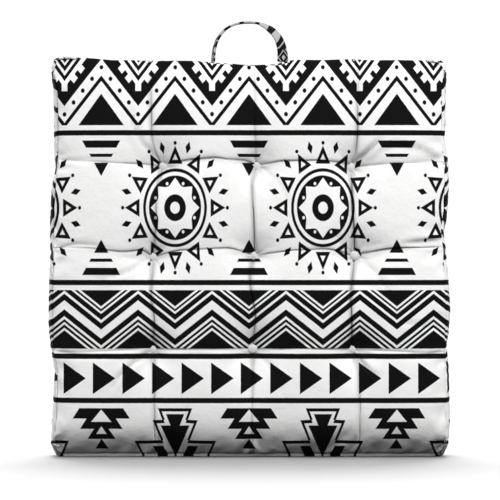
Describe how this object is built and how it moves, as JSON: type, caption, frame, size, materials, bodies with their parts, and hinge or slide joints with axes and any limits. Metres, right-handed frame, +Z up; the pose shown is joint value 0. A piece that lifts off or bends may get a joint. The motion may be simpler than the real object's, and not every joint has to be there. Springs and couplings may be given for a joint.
{
  "type": "floor cushion",
  "caption": "Square tufted floor cushion with boxed sides, a black and white geometric print and a fabric carry handle on its top edge, shown standing.",
  "frame": {"origin": "middle of the lower edge it stands on, halfway through its depth", "axes": "+X to the right seen from the front, +Y from the front panel to the back panel, +Z up through the handle"},
  "size_m": [0.66, 0.13, 0.721],
  "materials": {
    "printed_cover_fabric": "matte",
    "strap_fabric": "matte",
    "button_fabric": "matte",
    "tufting_twine": "matte",
    "strap_thread": "satin",
    "polyester_fill": "matte"
  },
  "bodies": {
    "cushion": {"front_panel": "printed_cover_fabric", "back_panel": "printed_cover_fabric", "boxing_top": "printed_cover_fabric", "boxing_right": "printed_cover_fabric", "boxing_bottom": "printed_cover_fabric", "boxing_left": "printed_cover_fabric", "fiber_fill": "polyester_fill", "front_button_row1_1": "button_fabric", "front_button_row1_2": "button_fabric", "front_button_row1_3": "button_fabric", "front_button_row2_1": "button_fabric", "front_button_row2_2": "button_fabric", "front_button_row2_3": "button_fabric", "front_button_row3_1": "button_fabric", "front_button_row3_2": "button_fabric", "front_button_row3_3": "button_fabric", "back_button_row1_1": "button_fabric", "back_button_row1_2": "button_fabric", "back_button_row1_3": "button_fabric", "back_button_row2_1": "button_fabric", "back_button_row2_2": "button_fabric", "back_button_row2_3": "button_fabric", "back_button_row3_1": "button_fabric", "back_button_row3_2": "button_fabric", "back_button_row3_3": "button_fabric", "tuft_twine_row1_1": "tufting_twine", "tuft_twine_row1_2": "tufting_twine", "tuft_twine_row1_3": "tufting_twine", "tuft_twine_row2_1": "tufting_twine", "tuft_twine_row2_2": "tufting_twine", "tuft_twine_row2_3": "tufting_twine", "tuft_twine_row3_1": "tufting_twine", "tuft_twine_row3_2": "tufting_twine", "tuft_twine_row3_3": "tufting_twine", "handle_root_left": "strap_fabric", "handle_root_right": "strap_fabric", "handle_tab_left": "strap_fabric", "handle_tab_right": "strap_fabric", "handle_stitching_left": "strap_thread", "handle_stitching_right": "strap_thread"},
    "handle": {"handle_strap": "strap_fabric"}
  },
  "joints": [
    {"name": "handle_flop", "type": "hinge", "parent": "cushion", "child": "handle", "pos_m": [0, 0, 0.6685], "axis": [1, 0, 0], "range_deg": [-80, 80], "stiffness_Nm_per_rad": 0.02, "deforming": ["handle_root_left", "handle_root_right"]}
  ]
}
